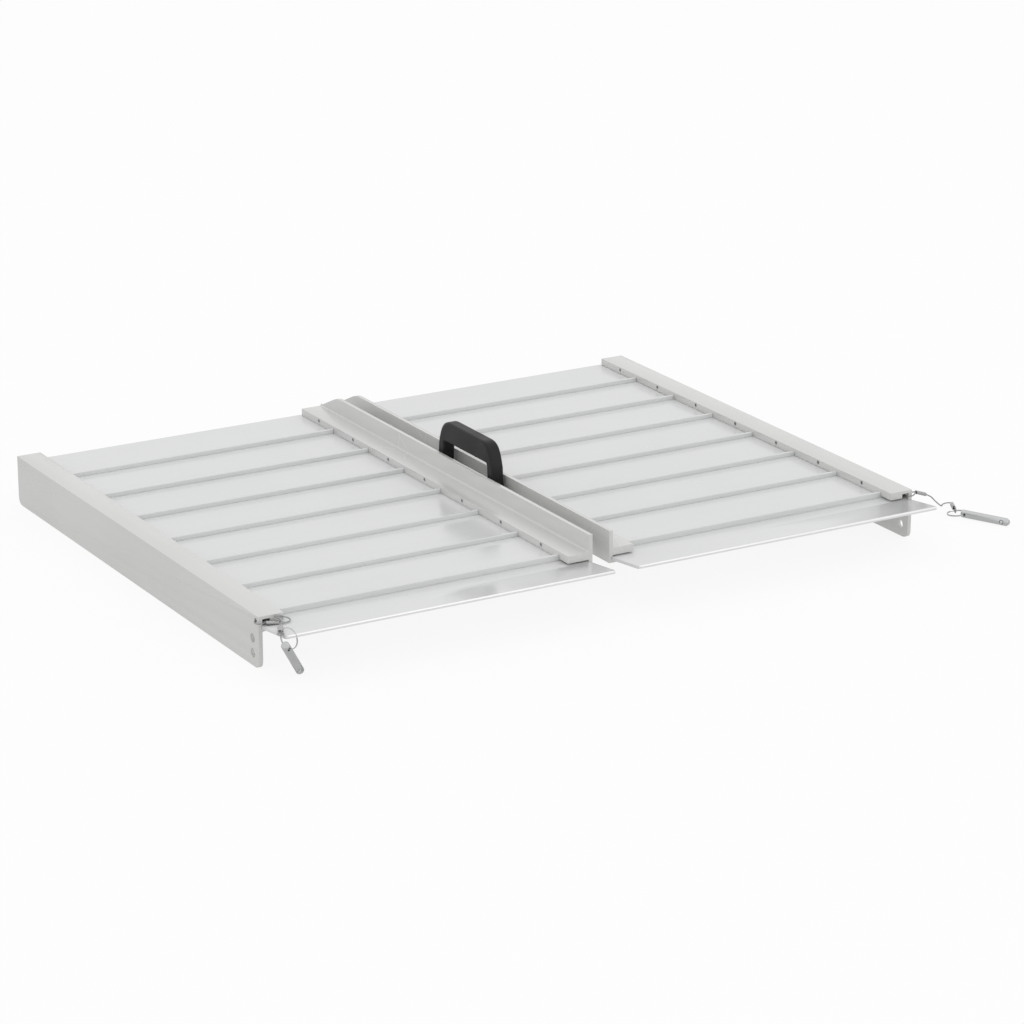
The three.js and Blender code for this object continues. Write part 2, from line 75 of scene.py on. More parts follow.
def makeCamera():
    data = bpy.data.cameras.new("camera")
    data.lens = cameraSettings["lens"]
    data.sensor_width = cameraSettings["sensor"]
    data.clip_start = cameraSettings["near"]
    data.clip_end = cameraSettings["far"]
    camera = bpy.data.objects.new("camera", data)
    camera.location = cameraSettings["location"]
    camera.rotation_mode = "QUATERNION"
    camera.rotation_quaternion = Vector(cameraSettings["direction"]).to_track_quat("-Z", "Y")
    scene.collection.objects.link(camera)
    scene.camera = camera


def makeStage():
    world = bpy.data.worlds.new("studio")
    world.use_nodes = True
    background = world.node_tree.nodes["Background"]
    background.inputs["Color"].default_value = worldSettings["colour"]
    background.inputs["Strength"].default_value = worldSettings["strength"]
    scene.world = world
    scene.view_settings.view_transform = "Standard"

    half = floorSettings["size"] / 2
    corners = [(-half, -half, 0), (half, -half, 0), (half, half, 0), (-half, half, 0)]
    mesh = bpy.data.meshes.new("floor")
    mesh.from_pydata(corners, [], [(0, 1, 2, 3)])
    floor = bpy.data.objects.new("floor", mesh)
    scene.collection.objects.link(floor)
    material = bpy.data.materials.new("paleFloor")
    material.use_nodes = True
    shader = material.node_tree.nodes["Principled BSDF"]
    shader.inputs["Base Color"].default_value = floorSettings["colour"]
    shader.inputs["Roughness"].default_value = floorSettings["roughness"]
    shader.inputs["Specular IOR Level"].default_value = 0.0
    shader.inputs["Emission Color"].default_value = (1, 1, 1, 1)
    nodes, links = material.node_tree.nodes, material.node_tree.links
    path = nodes.new("ShaderNodeLightPath")
    glow = nodes.new("ShaderNodeMapRange")
    glow.inputs["To Min"].default_value = floorSettings["bounce"]
    glow.inputs["To Max"].default_value = floorSettings["glow"]
    links.new(path.outputs["Is Camera Ray"], glow.inputs["Value"])
    links.new(glow.outputs["Result"], shader.inputs["Emission Strength"])
    mesh.materials.append(material)

    for name, lamp in lamps.items():
        data = bpy.data.lights.new(name, "AREA")
        data.size = lamp["size"]
        data.energy = lamp["power"]
        light = bpy.data.objects.new(name, data)
        light.location = lamp["place"]
        aim = lampAim - light.location
        light.rotation_mode = "QUATERNION"
        light.rotation_quaternion = aim.to_track_quat("-Z", "Y")
        scene.collection.objects.link(light)


makeCamera()
makeStage()
print("camera, floor and light made")


# small tools for meshes
def newObject(name, mesh):
    item = bpy.data.objects.new(name, mesh)
    scene.collection.objects.link(item)
    return item


def meshFrom(name, points, faces, smooth=True):
    mesh = bpy.data.meshes.new(name)
    mesh.from_pydata([tuple(p) for p in points], [], faces)
    mesh.polygons.foreach_set("use_smooth", [smooth] * len(mesh.polygons))
    mesh.update()
    return mesh


def settle(item):
    # the evaluated shape becomes the object's own plain mesh
    graph = bpy.context.evaluated_depsgraph_get()
    mesh = bpy.data.meshes.new_from_object(item.evaluated_get(graph))
    mesh.name = item.name
    item.modifiers.clear()
    item.data = mesh
    return item


def finishPiece(item, body, materials, replaced=()):
    if materials:
        item.data.materials.clear()
        for material in materials:
            item.data.materials.append(material)
    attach(item, body)
    if replaced:
        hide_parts(*replaced)
    return item


def smoothLine(points, spacing, between=24):
    # a Catmull-Rom curve through the points, spaced evenly
    points = [np.array(p, float) for p in points]
    before = points[0] * 2 - points[1]
    after = points[-1] * 2 - points[-2]
    guides = [before, *points, after]
    dense = []
    for a, b, c, d in zip(guides, guides[1:], guides[2:], guides[3:]):
        knots = [0.0]
        for start, end in ((a, b), (b, c), (c, d)):
            knots.append(knots[-1] + max(np.linalg.norm(end - start), 1e-9) ** 0.5)
        for t in np.linspace(knots[1], knots[2], between, endpoint=False):
            p = [a, b, c, d]
            level = [blendOf(p[i], p[i + 1], knots[i], knots[i + 1], t) for i in range(3)]
            level = [blendOf(level[i], level[i + 1], knots[i], knots[i + 2], t) for i in range(2)]
            dense.append(blendOf(level[0], level[1], knots[1], knots[2], t))
    dense.append(points[-1])
    dense = np.array(dense)
    along = np.concatenate([[0], np.cumsum(np.linalg.norm(np.diff(dense, axis=0), axis=1))])
    places = np.linspace(0, along[-1], max(2, round(along[-1] / spacing) + 1))
    return np.stack([np.interp(places, along, dense[:, k]) for k in range(3)], axis=1)


def blendOf(a, b, start, end, t):
    return (a * (end - t) + b * (t - start)) / (end - start)


def frames(line):
    # two directions across the line at every point, turning as little as they can
    tangents = np.gradient(line, axis=0)
    tangents /= np.linalg.norm(tangents, axis=1)[:, None]
    first = np.cross(tangents[0], [0, 0, 1.0])
    if np.linalg.norm(first) < 0.1:
        first = np.cross(tangents[0], [0, 1.0, 0])
    across = [first / np.linalg.norm(first)]
    for tangent in tangents[1:]:
        step = across[-1] - tangent * (across[-1] @ tangent)
        across.append(step / np.linalg.norm(step))
    across = np.array(across)
    return tangents, across, np.cross(tangents, across)


def tubeFaces(rows, count):
    # quads between neighbouring outlines, and a flat face on each end
    faces = []
    for i in range(rows - 1):
        for j in range(count):
            k = (j + 1) % count
            faces.append((i * count + j, i * count + k, (i + 1) * count + k, (i + 1) * count + j))
    faces.append(tuple(reversed(range(count))))
    faces.append(tuple(range((rows - 1) * count, rows * count)))
    return faces


def sweep(line, sections):
    # sections: for each point of the line, the (u, v) outline across it
    _, across, up = frames(line)
    points = (
        line[:, None, :]
        + sections[:, :, 0, None] * across[:, None, :]
        + sections[:, :, 1, None] * up[:, None, :]
    ).reshape(-1, 3)
    return points, tubeFaces(len(line), sections.shape[1])


# shader node groups that more than one finish uses
def newGroup(name, inputs, outputs):
    group = bpy.data.node_groups.new(name, "ShaderNodeTree")
    for label, kind, value in inputs:
        socket = group.interface.new_socket(label, in_out="INPUT", socket_type=kind)
        socket.default_value = value
    for label, kind in outputs:
        group.interface.new_socket(label, in_out="OUTPUT", socket_type=kind)
    start = group.nodes.new("NodeGroupInput")
    end = group.nodes.new("NodeGroupOutput")
    return group, start, end


grainSettings = {
    "layers": (("Lines", 4.0, 1.0), ("Streaks", 2.0, 0.16)),  # output, detail, share of the scale
    "roughness": 0.6,
    "middle": 0.5,
}


def drawnGrain():
    # fine lines along the way a section was pushed through its die
    group, start, end = newGroup(
        "drawnGrain",
        [
            ("Stretch", "NodeSocketVector", (1, 1, 1)),
            ("Scale", "NodeSocketFloat", 40.0),
            ("Contrast", "NodeSocketFloat", 1.0),
        ],
        [("Lines", "NodeSocketFloat"), ("Streaks", "NodeSocketFloat")],
    )
    nodes, links = group.nodes, group.links
    place = nodes.new("ShaderNodeTexCoord")
    stretch = nodes.new("ShaderNodeVectorMath")
    stretch.operation = "MULTIPLY"
    links.new(place.outputs["Object"], stretch.inputs[0])
    links.new(start.outputs["Stretch"], stretch.inputs[1])
    for label, detail, part in grainSettings["layers"]:
        scale = nodes.new("ShaderNodeMath")
        scale.operation = "MULTIPLY"
        scale.inputs[1].default_value = part
        links.new(start.outputs["Scale"], scale.inputs[0])
        noise = nodes.new("ShaderNodeTexNoise")
        noise.inputs["Detail"].default_value = detail
        noise.inputs["Roughness"].default_value = grainSettings["roughness"]
        links.new(stretch.outputs["Vector"], noise.inputs["Vector"])
        links.new(scale.outputs[0], noise.inputs["Scale"])
        centred = nodes.new("ShaderNodeMath")
        centred.operation = "SUBTRACT"
        centred.inputs[1].default_value = grainSettings["middle"]
        links.new(noise.outputs["Fac"], centred.inputs[0])
        spread = nodes.new("ShaderNodeMath")
        spread.operation = "MULTIPLY_ADD"
        spread.use_clamp = True
        spread.inputs[2].default_value = grainSettings["middle"]
        links.new(centred.outputs[0], spread.inputs[0])
        links.new(start.outputs["Contrast"], spread.inputs[1])
        links.new(spread.outputs[0], end.inputs[label])
    return group


marksSettings = {
    "cloudDetail": 3.0,
    "cloudDistortion": 0.6,
    "cloudRange": (0.38, 0.68),
    "bendScale": 3.0,
    "bendPush": (0.12, 0.12, 0.12),
    "patchScale": 14.0,
    "patchFrom": 0.6,
}


def handlingMarks():
    # soft smudges and a few hair scratches left by hands and storage
    group, start, end = newGroup(
        "handlingMarks",
        [
            ("Smudge Scale", "NodeSocketFloat", 9.0),
            ("Scratch Scale", "NodeSocketFloat", 30.0),
            ("Scratch Width", "NodeSocketFloat", 0.02),
        ],
        [("Smudges", "NodeSocketFloat"), ("Scratches", "NodeSocketFloat")],
    )
    setting = marksSettings
    nodes, links = group.nodes, group.links
    place = nodes.new("ShaderNodeTexCoord")
    cloud = nodes.new("ShaderNodeTexNoise")
    cloud.inputs["Detail"].default_value = setting["cloudDetail"]
    cloud.inputs["Distortion"].default_value = setting["cloudDistortion"]
    links.new(place.outputs["Object"], cloud.inputs["Vector"])
    links.new(start.outputs["Smudge Scale"], cloud.inputs["Scale"])
    soften = nodes.new("ShaderNodeMapRange")
    soften.interpolation_type = "SMOOTHSTEP"
    soften.inputs["From Min"].default_value = setting["cloudRange"][0]
    soften.inputs["From Max"].default_value = setting["cloudRange"][1]
    links.new(cloud.outputs["Fac"], soften.inputs["Value"])
    links.new(soften.outputs["Result"], end.inputs["Smudges"])

    bend = nodes.new("ShaderNodeTexNoise")
    bend.inputs["Scale"].default_value = setting["bendScale"]
    links.new(place.outputs["Object"], bend.inputs["Vector"])
    push = nodes.new("ShaderNodeVectorMath")
    push.operation = "MULTIPLY_ADD"
    push.inputs[1].default_value = setting["bendPush"]
    links.new(bend.outputs["Color"], push.inputs[0])
    links.new(place.outputs["Object"], push.inputs[2])
    cells = nodes.new("ShaderNodeTexVoronoi")
    cells.feature = "DISTANCE_TO_EDGE"
    links.new(push.outputs["Vector"], cells.inputs["Vector"])
    links.new(start.outputs["Scratch Scale"], cells.inputs["Scale"])
    thin = nodes.new("ShaderNodeMath")
    thin.operation = "LESS_THAN"
    links.new(cells.outputs["Distance"], thin.inputs[0])
    links.new(start.outputs["Scratch Width"], thin.inputs[1])
    patches = nodes.new("ShaderNodeTexNoise")
    patches.inputs["Scale"].default_value = setting["patchScale"]
    links.new(place.outputs["Object"], patches.inputs["Vector"])
    chosen = nodes.new("ShaderNodeMath")
    chosen.operation = "GREATER_THAN"
    chosen.inputs[1].default_value = setting["patchFrom"]
    links.new(patches.outputs["Fac"], chosen.inputs[0])
    both = nodes.new("ShaderNodeMath")
    both.operation = "MULTIPLY"
    links.new(thin.outputs[0], both.inputs[0])
    links.new(chosen.outputs[0], both.inputs[1])
    links.new(both.outputs[0], end.inputs["Scratches"])
    return group


grainGroup = drawnGrain()
marksGroup = handlingMarks()


def newMaterial(name):
    material = bpy.data.materials.new(name)
    material.use_nodes = True
    return material, material.node_tree, material.node_tree.nodes["Principled BSDF"]


def place(tree, group, values):
    node = tree.nodes.new("ShaderNodeGroup")
    node.node_tree = group
    for label, value in values.items():
        node.inputs[label].default_value = value
    return node


def mixTone(tree, mask, low, high):
    # a colour that goes from low to high as the mask does
    mix = tree.nodes.new("ShaderNodeMix")
    mix.data_type = "RGBA"
    mix.inputs["A"].default_value = (*low, 1)
    mix.inputs["B"].default_value = (*high, 1)
    tree.links.new(mask, mix.inputs["Factor"])
    return mix.outputs["Result"]


def spreadValue(tree, mask, low, high):
    span = tree.nodes.new("ShaderNodeMapRange")
    span.inputs["To Min"].default_value = low
    span.inputs["To Max"].default_value = high
    tree.links.new(mask, span.inputs["Value"])
    return span.outputs["Result"]


def addBump(tree, shader, height, strength, distance):
    bump = tree.nodes.new("ShaderNodeBump")
    bump.inputs["Strength"].default_value = strength
    bump.inputs["Distance"].default_value = distance
    tree.links.new(height, bump.inputs["Height"])
    tree.links.new(bump.outputs["Normal"], shader.inputs["Normal"])


metalLooks = {
    "railAluminium": {
        "low": (0.665, 0.663, 0.652),
        "high": (0.700, 0.698, 0.688),
        "roughness": (0.17, 0.25),
        "metallic": 0.15,
        "stretch": (1.0, 0.02, 1.0),
        "grain": 700.0,
        "bump": 0.04,
    },
    "deckAluminium": {
        "low": (0.715, 0.722, 0.722),
        "high": (0.745, 0.750, 0.750),
        "roughness": (0.12, 0.19),
        "metallic": 0.04,
        "stretch": (0.02, 1.0, 1.0),
        "grain": 520.0,
        "bump": 0.03,
    },
    "hingeAluminium": {
        "low": (0.50, 0.505, 0.505),
        "high": (0.60, 0.605, 0.605),
        "roughness": (0.32, 0.48),
        "metallic": 0.5,
        "stretch": (1.0, 0.03, 1.0),
        "grain": 800.0,
        "bump": 0.12,
    },
    # a brighter, fully metallic copy of the lip's aluminium, put on the front edge as a painted highlight
    "paintedNoseHighlight": {
        "low": (0.93, 0.93, 0.93),
        "high": (0.98, 0.98, 0.98),
        "roughness": (0.28, 0.36),
        "metallic": 1.0,
        "stretch": (0.02, 1.0, 1.0),
        "grain": 700.0,
        "bump": 0.02,
    },
    "platedSteel": {
        "low": (0.50, 0.505, 0.51),
        "high": (0.64, 0.645, 0.65),
        "roughness": (0.22, 0.38),
        "metallic": 1.0,
        "stretch": (1.0, 1.0, 1.0),
        "grain": 260.0,
        "bump": 0.10,
    },
    "brightPin": {
        "low": (0.55, 0.555, 0.56),
        "high": (0.66, 0.665, 0.67),
        "roughness": (0.14, 0.26),
        "metallic": 1.0,
        "stretch": (1.0, 1.0, 1.0),
        "grain": 420.0,
        "bump": 0.05,
    },
    "softFerrule": {
        "low": (0.40, 0.40, 0.395),
        "high": (0.58, 0.58, 0.575),
        "roughness": (0.30, 0.50),
        "metallic": 1.0,
        "stretch": (1.0, 1.0, 1.0),
        "grain": 600.0,
        "bump": 0.25,
    },
    "wireSteel": {
        "low": (0.28, 0.285, 0.29),
        "high": (0.46, 0.465, 0.47),
        "roughness": (0.26, 0.42),
        "metallic": 1.0,
        "stretch": (1.0, 1.0, 1.0),
        "grain": 900.0,
        "bump": 0.10,
    },
    # near-black core of each rivet: painted shade standing in for the rivet's hollow centre
    "rivetCoreShade": {
        "low": (0.12, 0.122, 0.125),
        "high": (0.24, 0.245, 0.25),
        "roughness": (0.36, 0.56),
        "metallic": 1.0,
        "stretch": (1.0, 1.0, 1.0),
        "grain": 700.0,
        "bump": 0.15,
    },
}


wearSettings = {
    "contrast": 1.6,
    "marks": {"Smudge Scale": 7.0, "Scratch Scale": 26.0, "Scratch Width": 0.004},
    "streaks": 0.55,  # share of the drawn streaks in the tone
    "smudges": 0.45,  # share of the smudges in the tone
    "scratches": 0.10,  # roughness that a scratch adds
    "depth": 0.0002,
}


def metal(name):
    look, wear = metalLooks[name], wearSettings
    drawn = {"Stretch": look["stretch"], "Scale": look["grain"], "Contrast": wear["contrast"]}
    material, tree, shader = newMaterial(name)
    shader.inputs["Metallic"].default_value = look["metallic"]
    grain = place(tree, grainGroup, drawn)
    marks = place(tree, marksGroup, wear["marks"])
    both = tree.nodes.new("ShaderNodeMath")
    both.operation = "MULTIPLY_ADD"
    both.use_clamp = True
    both.inputs[1].default_value = wear["streaks"]
    tree.links.new(grain.outputs["Streaks"], both.inputs[0])
    part = spreadValue(tree, marks.outputs["Smudges"], 0.0, wear["smudges"])
    tree.links.new(part, both.inputs[2])
    tree.links.new(mixTone(tree, both.outputs[0], look["high"], look["low"]), shader.inputs["Base Color"])
    rough = tree.nodes.new("ShaderNodeMath")
    rough.operation = "MULTIPLY_ADD"
    rough.inputs[1].default_value = wear["scratches"]
    tree.links.new(marks.outputs["Scratches"], rough.inputs[0])
    tree.links.new(spreadValue(tree, both.outputs[0], *look["roughness"]), rough.inputs[2])
    tree.links.new(rough.outputs[0], shader.inputs["Roughness"])
    addBump(tree, shader, grain.outputs["Lines"], look["bump"], wear["depth"])
    return material


plasticLook = {
    "low": (0.011, 0.011, 0.0115),
    "high": (0.016, 0.016, 0.0165),
    "roughness": (0.42, 0.56),
    "specular": 0.3,
    "grain": {"Stretch": (1, 1, 1), "Scale": 1500.0, "Contrast": 1.4},
    "marks": {"Smudge Scale": 24.0, "Scratch Scale": 60.0, "Scratch Width": 0.006},
    "bump": 0.35,
    "depth": 0.00025,
}


def mouldedPlastic():
    look = plasticLook
    material, tree, shader = newMaterial("mouldedPlastic")
    grain = place(tree, grainGroup, look["grain"])
    marks = place(tree, marksGroup, look["marks"])
    tone = mixTone(tree, marks.outputs["Smudges"], look["low"], look["high"])
    tree.links.new(tone, shader.inputs["Base Color"])
    rough = spreadValue(tree, marks.outputs["Smudges"], *look["roughness"])
    tree.links.new(rough, shader.inputs["Roughness"])
    shader.inputs["Specular IOR Level"].default_value = look["specular"]
    addBump(tree, shader, grain.outputs["Lines"], look["bump"], look["depth"])
    return material


finishes = {name: metal(name) for name in metalLooks}
finishes["mouldedPlastic"] = mouldedPlastic()
print("finishes made:", len(finishes))


# wire lanyards, from the tail of the rail's eye to the tail of the ring's eye
lanyardSettings = {
    "diameter": 0.0013,
    "strands": 6,
    "strandDepth": 0.2,  # share of the radius between two strands
    "lay": 0.0075,  # length of one full turn of a strand
    "spacing": 0.00035,
    "around": 24,
}
lanyards = {
    "left": {
        "exit": (-0.368, -0.253, 0.0466),
        "length": 0.158,
        "route": [
            (-0.3523, -0.2636, 0.0455),
            (-0.3572, -0.2617, 0.0458),
            (-0.3631, -0.2594, 0.0461),
            (-0.3654, -0.2549, 0.0465),
            (-0.3680, -0.2530, 0.0466),
            (-0.3714, -0.2543, 0.0466),
            (-0.3731, -0.2577, 0.0465),
            (-0.3720, -0.2613, 0.0464),
            (-0.3684, -0.2624, 0.0463),
            (-0.3638, -0.2612, 0.0461),
            (-0.3578, -0.2635, 0.0458),
            (-0.3519, -0.2658, 0.0455),
            (-0.3470, -0.2670, 0.0450),
            (-0.3418, -0.2660, 0.0450),
            (-0.3394, -0.2636, 0.0456),
            (-0.3411, -0.2614, 0.0470),
            (-0.3473, -0.2609, 0.0494),
            (-0.3524, -0.2610, 0.0508),
            (-0.3544, -0.2618, 0.0508),
            (-0.3534, -0.2646, 0.0502),
            (-0.3524, -0.2686, 0.0496),
            (-0.3536, -0.2742, 0.0490),
            (-0.3609, -0.2837, 0.0485),
            (-0.3637, -0.2894, 0.0487),
            (-0.3666, -0.2952, 0.0489),
            (-0.3690, -0.2979, 0.0490),
            (-0.3712, -0.3001, 0.0491),
            (-0.3718, -0.3027, 0.0492),
            (-0.3703, -0.3048, 0.0493),
            (-0.3677, -0.3048, 0.0493),
            (-0.3660, -0.3027, 0.0492),
            (-0.3656, -0.2996, 0.0491),
            (-0.3649, -0.2960, 0.0489),
            (-0.3620, -0.2903, 0.0487),
            (-0.3597, -0.2856, 0.0486),
        ],
    },
    "right": {
        "exit": (0.368, -0.253, 0.0467),
        "length": 0.2365,
        "route": [
            (0.3872, -0.2567, 0.0439),
            (0.3823, -0.2564, 0.0456),
            (0.3762, -0.2560, 0.0477),
            (0.3718, -0.2540, 0.0472),
            (0.3680, -0.2530, 0.0467),
            (0.3644, -0.2546, 0.0464),
            (0.3632, -0.2580, 0.0464),
            (0.3648, -0.2614, 0.0465),
            (0.3682, -0.2626, 0.0468),
            (0.3722, -0.2608, 0.0474),
            (0.3761, -0.2579, 0.0477),
            (0.3821, -0.2582, 0.0456),
            (0.3882, -0.2586, 0.0435),
            (0.4006, -0.2504, 0.0366),
            (0.4156, -0.2366, 0.0264),
            (0.4306, -0.2226, 0.0164),
            (0.4446, -0.2092, 0.0078),
            (0.4546, -0.1980, 0.0026),
            (0.4610, -0.1906, 0.0010),
            (0.4672, -0.1890, 0.0010),
            (0.4702, -0.1930, 0.0018),
            (0.4664, -0.1993, 0.0038),
            (0.4635, -0.2051, 0.0038),
            (0.4607, -0.2108, 0.0038),
            (0.4591, -0.2140, 0.0049),
            (0.4578, -0.2165, 0.0060),
            (0.4565, -0.2192, 0.0052),
            (0.4559, -0.2204, 0.0032),
            (0.4563, -0.2196, 0.0013),
            (0.4576, -0.2169, 0.0008),
            (0.4591, -0.2140, 0.0013),
            (0.4607, -0.2108, 0.0018),
            (0.4635, -0.2051, 0.0018),
            (0.4658, -0.2004, 0.0018),
        ],
    },
}


def strandedWire(name, line):
    setting = lanyardSettings
    radius = setting["diameter"] / 2
    turn = np.linspace(0, 2 * math.pi, setting["around"], endpoint=False)
    run = np.arange(len(line)) * setting["spacing"]
    phase = turn[None, :] - run[:, None] * 2 * math.pi / setting["lay"]
    lobe = np.abs(np.cos(phase * setting["strands"] / 2))
    reach = radius * (1 - setting["strandDepth"] * (1 - lobe))
    sections = np.stack([reach * np.cos(turn)[None, :], reach * np.sin(turn)[None, :]], axis=2)
    points, faces = sweep(line, sections)
    return newObject(name, meshFrom(name, points, faces))


def makeLanyards():
    made = {}
    for side in sides:
        line = smoothLine(lanyards[side]["route"], lanyardSettings["spacing"])
        wire = strandedWire(f"{side}_lanyard_wire", line)
        finishPiece(wire, f"{side}_panel", [finishes["wireSteel"]], [f"{side}_lanyard_cable"])
        length = float(np.linalg.norm(np.diff(line, axis=0), axis=1).sum())
        print(side, "lanyard length", round(length, 4))
        made[side] = (wire, line)
    return made


lanyardWires = makeLanyards()


# pressed ferrules, one at each eye of a lanyard
ferruleSettings = {
    "length": 0.012,
    "offset": 0.00095,  # half the distance between the two strands
    "outer": 0.0018,
    "inner": 0.00085,
    "lipRound": 0.0005,
    "crimps": (-0.0036, 0.0, 0.0036),
    "crimpDepth": 0.16,
    "crimpWidth": 0.0010,
    "boreChamfer": 0.0003,
    "stations": 41,
    "roundSteps": 5,
}
ferruleTurns = {
    "left_ferrule_1": ((0.93, -0.36, -0.05), (0.36, 0.93, 0.0)),
    "left_ferrule_2": ((0.444, 0.895, -0.028), (-0.896, 0.444, -0.02)),
    "right_ferrule_1": ((0.94, -0.06, -0.33), (0.06, 0.94, 0.0)),
    "right_ferrule_2": ((0.44, 0.898, 0.0), (0.0, 0.0, 1.0)),
}


def stadium(offset, radius, count=20):
    points = []
    for centre, start in ((offset, -math.pi / 2), (-offset, math.pi / 2)):
        for i in range(count):
            angle = start + math.pi * i / (count - 1)
            points.append((centre + radius * math.cos(angle), radius * math.sin(angle)))
    return points


def ferruleMesh(name, centre, along, across):
    setting = ferruleSettings
    half = setting["length"] / 2
    along = Vector(along).normalized()
    first = Vector(across)
    first = (first - along * first.dot(along)).normalized()
    second = along.cross(first)
    lip, outer, steps = setting["lipRound"], setting["outer"], setting["roundSteps"]
    bore, chamfer = setting["inner"], setting["boreChamfer"]
    stations = []  # (place along, radius), out along the outer wall and back through the bore
    for spot in np.linspace(-half + lip, half - lip, setting["stations"]):
        press = sum(math.exp(-(((spot - c) / setting["crimpWidth"]) ** 2)) for c in setting["crimps"])
        stations.append((spot, outer * (1 - setting["crimpDepth"] * press)))
    rounded = []
    for i in range(1, steps):
        angle = math.pi / 2 * i / steps
        rounded.append((half - lip * (1 - math.sin(angle)), outer - lip * (1 - math.cos(angle))))
    stations += rounded
    stations += [(half, bore + chamfer), (half - chamfer, bore)]
    stations += [(chamfer - half, bore), (-half, bore + chamfer)]
    stations += [(-spot, radius) for spot, radius in reversed(rounded)]
    points = []
    for spot, radius in stations:
        for u, v in stadium(setting["offset"], radius):
            points.append(centre + along * spot + first * u + second * v)
    count = len(points) // len(stations)
    faces = []
    for i in range(len(stations)):
        for j in range(count):
            a, b = i * count, (i + 1) % len(stations) * count
            k = (j + 1) % count
            faces.append((a + j, a + k, b + k, b + j))
    mesh = meshFrom(name, points, faces)
    tidyNormals(mesh)
    return mesh


def tidyNormals(mesh, reach=1e-7):
    work = bmesh.new()
    work.from_mesh(mesh)
    bmesh.ops.remove_doubles(work, verts=work.verts, dist=reach)
    bmesh.ops.recalc_face_normals(work, faces=work.faces)
    work.to_mesh(mesh)
    work.free()


def middle(node):
    low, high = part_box(node)
    return (low + high) / 2


def makeFerrules():
    made = {}
    for node, (along, across) in ferruleTurns.items():
        side = node.split("_")[0]
        name = f"{side}_pressed_sleeve_{node[-1]}"
        sleeve = newObject(name, ferruleMesh(name, middle(node), along, across))
        finishPiece(sleeve, f"{side}_panel", [finishes["softFerrule"]], [node])
        made[node] = sleeve
    return made


ferrules = makeFerrules()
print("lanyard wires and sleeves made")


# split rings: two flat turns of wire with a joggle between them
ringSettings = {
    "radius": 0.0102,
    "wire": 0.00042,
    "step": 0.00044,  # each turn's distance from the ring's middle plane
    "joggle": 0.5,  # radians over which the wire crosses from one turn to the other
    "perTurn": 96,
    "around": 12,
    "start": math.radians(70),
    "overlapLeft": 6,  # steps by which the two turns fall short
    "endTaper": 0.55,
}
ringTurns = {  # direction of the pin's cross hole, and towards the ring's far side
    "left": ((0.35, -0.93, -0.363), (0, 0, 1)),
    "right": ((0.899, 0.438, 0), (-0.436, 0.895, -0.1)),
}


def splitRing(side):
    setting = ringSettings
    hole, towards = (Vector(v) for v in ringTurns[side])
    hole = hole.normalized()
    inward = (towards - hole * towards.dot(hole)).normalized()
    normal = hole.cross(inward)
    centre = middle(f"{side}_pin_ring")
    count = setting["perTurn"] * 2 - setting["overlapLeft"]
    line = []
    for i in range(count + 1):
        swing = 2 * math.pi * i / setting["perTurn"]
        share = min(1.0, max(0.0, (swing - 2 * math.pi + setting["joggle"] / 2) / setting["joggle"]))
        level = setting["step"] * (2 * share * share * (3 - 2 * share) - 1)
        angle = setting["start"] + swing
        radial = hole * math.cos(angle) + inward * math.sin(angle)
        line.append(centre + radial * setting["radius"] + normal * level)
    line = np.array([tuple(p) for p in line])
    turn = np.linspace(0, 2 * math.pi, setting["around"], endpoint=False)
    circle = np.stack([np.cos(turn), np.sin(turn)], axis=1)
    scale = np.full(len(line), setting["wire"])
    scale[[0, -1]] *= setting["endTaper"]
    sections = circle[None, :, :] * scale[:, None, None]
    points, faces = sweep(line, sections)
    name = f"{side}_split_ring"
    ring = newObject(name, meshFrom(name, points, faces))
    return finishPiece(ring, f"{side}_panel", [finishes["brightPin"]], [f"{side}_pin_ring"])


rings = {side: splitRing(side) for side in sides}
print("split rings made")


# pieces that keep the frame's shape, with their edges eased
easingSettings = {
    "joinWithin": 2e-6,
    "flatWithin": math.radians(0.6),
    "sharpFrom": math.radians(35),
    "segments": 3,
}


def easedCopy(name, node, width):
    setting = easingSettings
    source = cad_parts[node].data
    work = bmesh.new()
    work.from_mesh(source)
    bmesh.ops.remove_doubles(work, verts=work.verts, dist=setting["joinWithin"])
    bmesh.ops.dissolve_limit(
        work,
        angle_limit=setting["flatWithin"],
        use_dissolve_boundaries=False,
        verts=work.verts,
        edges=work.edges,
    )
    for face in work.faces:
        face.smooth = True
    mesh = bpy.data.meshes.new(name)
    work.to_mesh(mesh)
    work.free()
    item = newObject(name, mesh)
    bevel = item.modifiers.new("easedEdges", "BEVEL")
    bevel.width = width
    bevel.segments = setting["segments"]
    bevel.limit_method = "ANGLE"
    bevel.angle_limit = setting["sharpFrom"]
    bevel.harden_normals = True
    bevel.use_clamp_overlap = True
    return settle(item)


easedPieces = {  # node ending: (piece name, edge radius, finish, record slot)
    "outer_rail": ("rail_and_curb", 0.0006, "railAluminium", "rail_aluminium"),
    "centre_rail": ("middle_rail", 0.0005, "railAluminium", "rail_aluminium"),
    "lip": ("entry_lip", 0.0007, "deckAluminium", "deck_aluminium"),
    "hinge_leaf": ("leaf_plate", 0.0003, "hingeAluminium", "hinge_aluminium"),
    "hinge_pin": ("hinge_rod", 0.0003, "platedSteel", "hinge_hardware"),
    "lock_pin": ("locking_pin", 0.0003, "brightPin", "pin_steel"),
}
spineEdge = 0.0004
fasteners = {"handle_bolt": "handle_screw", "handle_bush": "handle_insert"}  # piece name: node
fastenerEdge = 0.0003
noseHighlightReach = 0.0012  # how far back from the front edge the painted highlight strip goes


# the lip's front strip gets the brighter copy, a painted highlight along the nose
def paintNoseHighlight(item):
    front = min(corner[1] for corner in item.bound_box)
    for polygon in item.data.polygons:
        polygon.material_index = int(polygon.center.y < front + noseHighlightReach)


